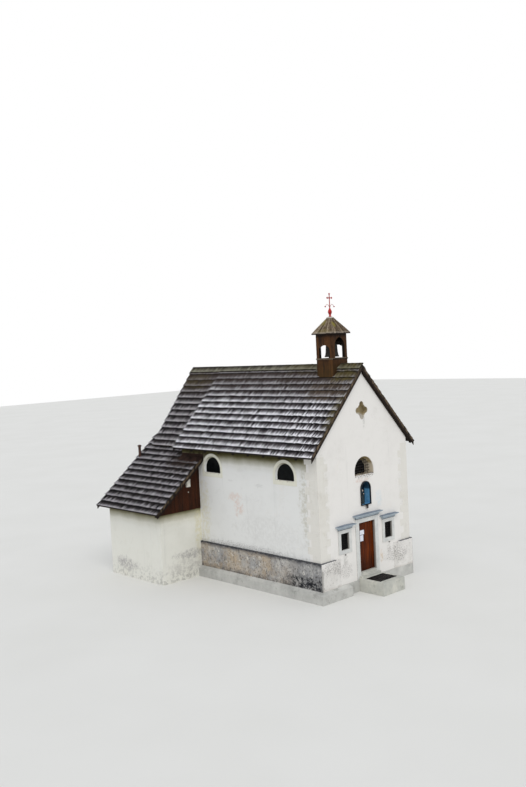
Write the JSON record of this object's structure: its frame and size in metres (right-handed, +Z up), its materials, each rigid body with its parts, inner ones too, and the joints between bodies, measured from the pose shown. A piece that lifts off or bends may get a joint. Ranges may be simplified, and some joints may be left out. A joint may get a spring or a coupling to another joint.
{
  "type": "small chapel",
  "caption": "White plastered hillside chapel with steep shingled roof, timber bell turret, planked door that opens, lower sacristy at the side and half-round windows.",
  "frame": {"origin": "middle of the front wall's face, at the level of the lowest ground beside the walls, on the footing's underside", "axes": "+Z up, +X to the right seen from the front, +Y from the front back along the nave"},
  "size_m": [9.09, 13.24, 12.5789],
  "materials": {
    "plaster": "lime-washed plaster",
    "plinth_render": "rough weathered render",
    "footing_stone": "rough concrete and stone",
    "floor_stone": "worn stone slabs",
    "dressed_stone": "dressed grey stone",
    "cornice_stone": "blue-grey dressed stone",
    "step_stone": "worn stone",
    "shingles": "weathered split shingles",
    "turret_shingles": "mossy weathered boards",
    "verge_timber": "dark brown stained boards",
    "gable_boarding": "red-brown stained boards",
    "roof_timber": "old dark timber",
    "turret_timber": "brown weathered boards",
    "door_wood": "orange-brown varnished planks",
    "black_iron": "black forged iron",
    "cross_iron": "weathered red paint",
    "window_glass": "dark old glass",
    "niche_blue": "blue paint",
    "figure_paint": "pale painted wood",
    "lamp_metal": "pale grey paint",
    "pipe_metal": "brown coated steel"
  },
  "bodies": {
    "building": {"footing": "footing_stone", "plinth_left": "plinth_render", "plinth_right": "plinth_render", "front_wall_left": "plaster", "front_wall_right": "plaster", "front_gable": "plaster", "left_wall": "plaster", "right_wall": "plaster", "chancel_arch_wall": "plaster", "chancel_left_wall": "plaster", "chancel_right_wall": "plaster", "chancel_rear_wall": "plaster", "floors": "floor_stone", "annex_front_wall": "plaster", "annex_side_wall": "plaster", "annex_rear_wall": "plaster", "annex_gable_boards": "gable_boarding", "nave_roof_left": "shingles", "nave_roof_right": "shingles", "chancel_roof_left": "shingles", "chancel_roof_right": "shingles", "annex_roof": "shingles", "ridge_shingles": "shingles", "verge_boards": "verge_timber", "roof_beams": "roof_timber", "nave_rafters": "roof_timber", "chancel_rafters": "roof_timber", "annex_rafters": "roof_timber", "turret_base": "turret_timber", "turret_belfry": "turret_timber", "turret_roof": "turret_shingles", "roof_cross": "cross_iron", "door_surround": "dressed_stone", "doorstep": "step_stone", "door_pintles": "black_iron", "window_surrounds": "dressed_stone", "cornices": "cornice_stone", "window_glass": "window_glass", "niche_lining": "niche_blue", "niche_figure": "figure_paint", "wall_lamps": "lamp_metal", "stove_pipe": "pipe_metal", "flashings": "pipe_metal"},
    "door": {"door_leaf": "door_wood", "door_ironwork": "black_iron"}
  },
  "joints": [
    {"name": "door_hinge", "type": "hinge", "parent": "building", "child": "door", "pos_m": [0.573, 0.196, 1.8], "axis": [0, 0, -1], "range_deg": [0, 95]}
  ]
}
